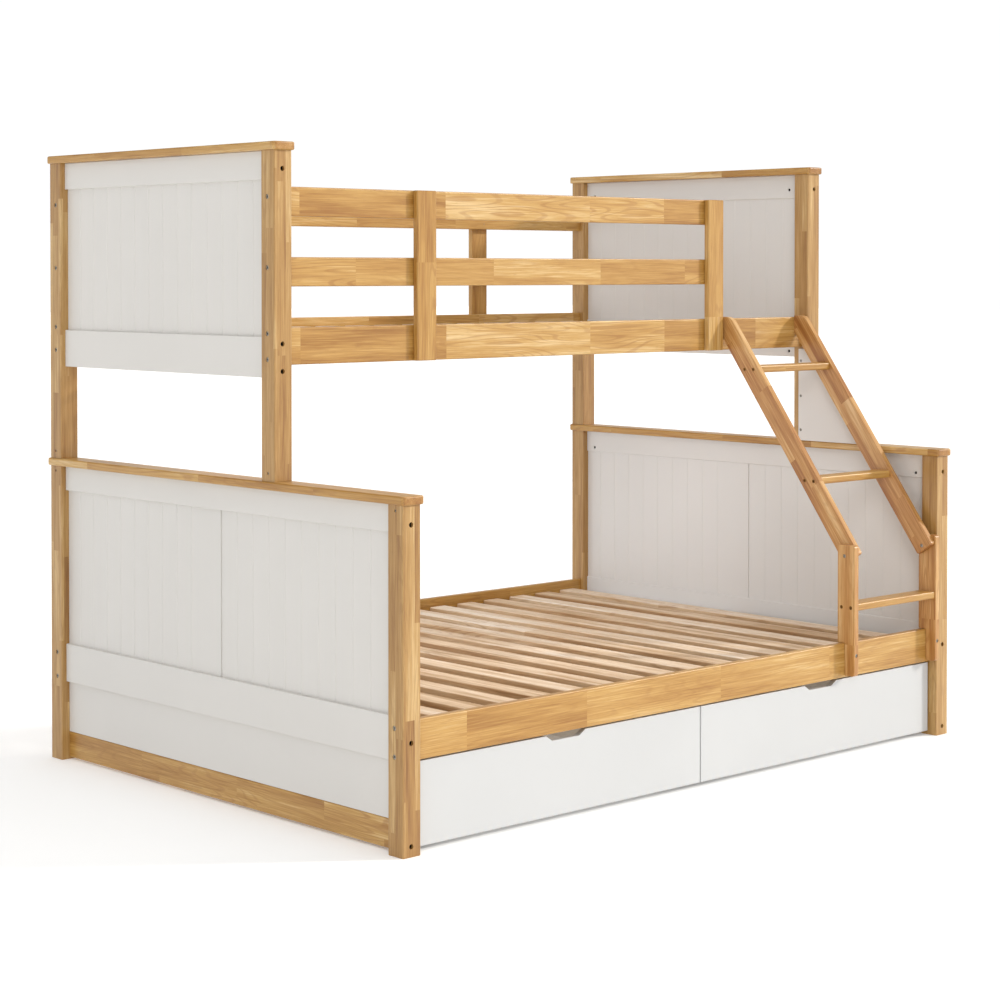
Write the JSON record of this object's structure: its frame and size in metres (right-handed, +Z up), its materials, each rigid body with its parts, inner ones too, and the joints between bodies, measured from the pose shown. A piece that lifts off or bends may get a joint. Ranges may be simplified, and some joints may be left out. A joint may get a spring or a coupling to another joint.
{
  "type": "single over double bunk bed",
  "caption": "Wooden bunk bed with a single bed over a double bed, panelled white ends, a slanted ladder, guard rails and wheeled drawers underneath.",
  "frame": {"origin": "on the floor, in the middle of the footprint", "axes": "+X along the bed towards the ladder end, +Y towards the wall side, +Z up"},
  "size_m": [2.022, 1.467, 1.604],
  "materials": {
    "lacquered_wood": "clear satin lacquer over finger-jointed golden hardwood",
    "white_paint": "satin warm white paint on board",
    "bare_slats": "bare sanded pale wood",
    "drawer_paint": "satin white paint on board",
    "drawer_board": "smooth off-white board",
    "wheel_plastic": "matt black plastic"
  },
  "bodies": {
    "bed_frame": {"lower_left_front_post": "lacquered_wood", "lower_left_back_post": "lacquered_wood", "lower_left_cap": "lacquered_wood", "lower_left_bottom_rail": "lacquered_wood", "upper_left_front_post": "lacquered_wood", "upper_left_back_post": "lacquered_wood", "upper_left_cap": "lacquered_wood", "lower_right_front_post": "lacquered_wood", "lower_right_back_post": "lacquered_wood", "lower_right_cap": "lacquered_wood", "lower_right_bottom_rail": "lacquered_wood", "upper_right_front_post": "lacquered_wood", "upper_right_back_post": "lacquered_wood", "upper_right_cap": "lacquered_wood", "lower_front_side_rail": "lacquered_wood", "lower_back_side_rail": "lacquered_wood", "centre_beam": "lacquered_wood", "upper_front_side_rail": "lacquered_wood", "upper_back_side_rail": "lacquered_wood", "front_middle_guard": "lacquered_wood", "front_top_guard": "lacquered_wood", "back_middle_guard": "lacquered_wood", "back_top_guard": "lacquered_wood", "front_left_stile": "lacquered_wood", "front_right_stile": "lacquered_wood", "back_right_stile": "lacquered_wood", "ladder_left_stringer": "lacquered_wood", "ladder_right_stringer": "lacquered_wood", "ladder_left_leg": "lacquered_wood", "ladder_right_leg": "lacquered_wood", "ladder_bottom_rung": "lacquered_wood", "ladder_middle_rung": "lacquered_wood", "ladder_top_rung": "lacquered_wood", "lower_left_top_rail": "white_paint", "lower_left_beadboard": "white_paint", "lower_left_skirt": "white_paint", "upper_left_top_rail": "white_paint", "upper_left_beadboard": "white_paint", "upper_left_bottom_rail": "white_paint", "lower_right_top_rail": "white_paint", "lower_right_beadboard": "white_paint", "lower_right_skirt": "white_paint", "upper_right_top_rail": "white_paint", "upper_right_beadboard": "white_paint", "upper_right_bottom_rail": "white_paint", "post_gusset": "white_paint", "lower_slats": "bare_slats", "upper_slats": "bare_slats"},
    "left_drawer": {"left_drawer_front": "drawer_paint", "left_drawer_box": "drawer_board"},
    "left_drawer_front_left_wheel": {"left_drawer_front_left_wheel": "wheel_plastic"},
    "left_drawer_front_right_wheel": {"left_drawer_front_right_wheel": "wheel_plastic"},
    "left_drawer_back_left_wheel": {"left_drawer_back_left_wheel": "wheel_plastic"},
    "left_drawer_back_right_wheel": {"left_drawer_back_right_wheel": "wheel_plastic"},
    "right_drawer": {"right_drawer_front": "drawer_paint", "right_drawer_box": "drawer_board"},
    "right_drawer_front_left_wheel": {"right_drawer_front_left_wheel": "wheel_plastic"},
    "right_drawer_front_right_wheel": {"right_drawer_front_right_wheel": "wheel_plastic"},
    "right_drawer_back_left_wheel": {"right_drawer_back_left_wheel": "wheel_plastic"},
    "right_drawer_back_right_wheel": {"right_drawer_back_right_wheel": "wheel_plastic"}
  },
  "joints": [
    {"name": "left_drawer_slide", "type": "slide", "parent": "bed_frame", "child": "left_drawer", "axis": [0, -1, 0], "range_m": [0, 0.5]},
    {"name": "left_drawer_front_left_wheel_spin", "type": "hinge", "parent": "left_drawer", "child": "left_drawer_front_left_wheel", "pos_m": [-0.883, -0.6185, 0.022], "axis": [1, 0, 0], "continuous": true},
    {"name": "left_drawer_front_right_wheel_spin", "type": "hinge", "parent": "left_drawer", "child": "left_drawer_front_right_wheel", "pos_m": [-0.067, -0.6185, 0.022], "axis": [1, 0, 0], "continuous": true},
    {"name": "left_drawer_back_left_wheel_spin", "type": "hinge", "parent": "left_drawer", "child": "left_drawer_back_left_wheel", "pos_m": [-0.883, -0.1185, 0.022], "axis": [1, 0, 0], "continuous": true},
    {"name": "left_drawer_back_right_wheel_spin", "type": "hinge", "parent": "left_drawer", "child": "left_drawer_back_right_wheel", "pos_m": [-0.067, -0.1185, 0.022], "axis": [1, 0, 0], "continuous": true},
    {"name": "right_drawer_slide", "type": "slide", "parent": "bed_frame", "child": "right_drawer", "axis": [0, -1, 0], "range_m": [0, 0.5]},
    {"name": "right_drawer_front_left_wheel_spin", "type": "hinge", "parent": "right_drawer", "child": "right_drawer_front_left_wheel", "pos_m": [0.067, -0.6185, 0.022], "axis": [1, 0, 0], "continuous": true},
    {"name": "right_drawer_front_right_wheel_spin", "type": "hinge", "parent": "right_drawer", "child": "right_drawer_front_right_wheel", "pos_m": [0.883, -0.6185, 0.022], "axis": [1, 0, 0], "continuous": true},
    {"name": "right_drawer_back_left_wheel_spin", "type": "hinge", "parent": "right_drawer", "child": "right_drawer_back_left_wheel", "pos_m": [0.067, -0.1185, 0.022], "axis": [1, 0, 0], "continuous": true},
    {"name": "right_drawer_back_right_wheel_spin", "type": "hinge", "parent": "right_drawer", "child": "right_drawer_back_right_wheel", "pos_m": [0.883, -0.1185, 0.022], "axis": [1, 0, 0], "continuous": true}
  ],
  "couplings": [
    {"joint": "left_drawer_front_left_wheel_spin", "follows": "left_drawer_slide", "rad_per_m": 45.455},
    {"joint": "left_drawer_front_right_wheel_spin", "follows": "left_drawer_slide", "rad_per_m": 45.455},
    {"joint": "left_drawer_back_left_wheel_spin", "follows": "left_drawer_slide", "rad_per_m": 45.455},
    {"joint": "left_drawer_back_right_wheel_spin", "follows": "left_drawer_slide", "rad_per_m": 45.455},
    {"joint": "right_drawer_front_left_wheel_spin", "follows": "right_drawer_slide", "rad_per_m": 45.455},
    {"joint": "right_drawer_front_right_wheel_spin", "follows": "right_drawer_slide", "rad_per_m": 45.455},
    {"joint": "right_drawer_back_left_wheel_spin", "follows": "right_drawer_slide", "rad_per_m": 45.455},
    {"joint": "right_drawer_back_right_wheel_spin", "follows": "right_drawer_slide", "rad_per_m": 45.455}
  ]
}
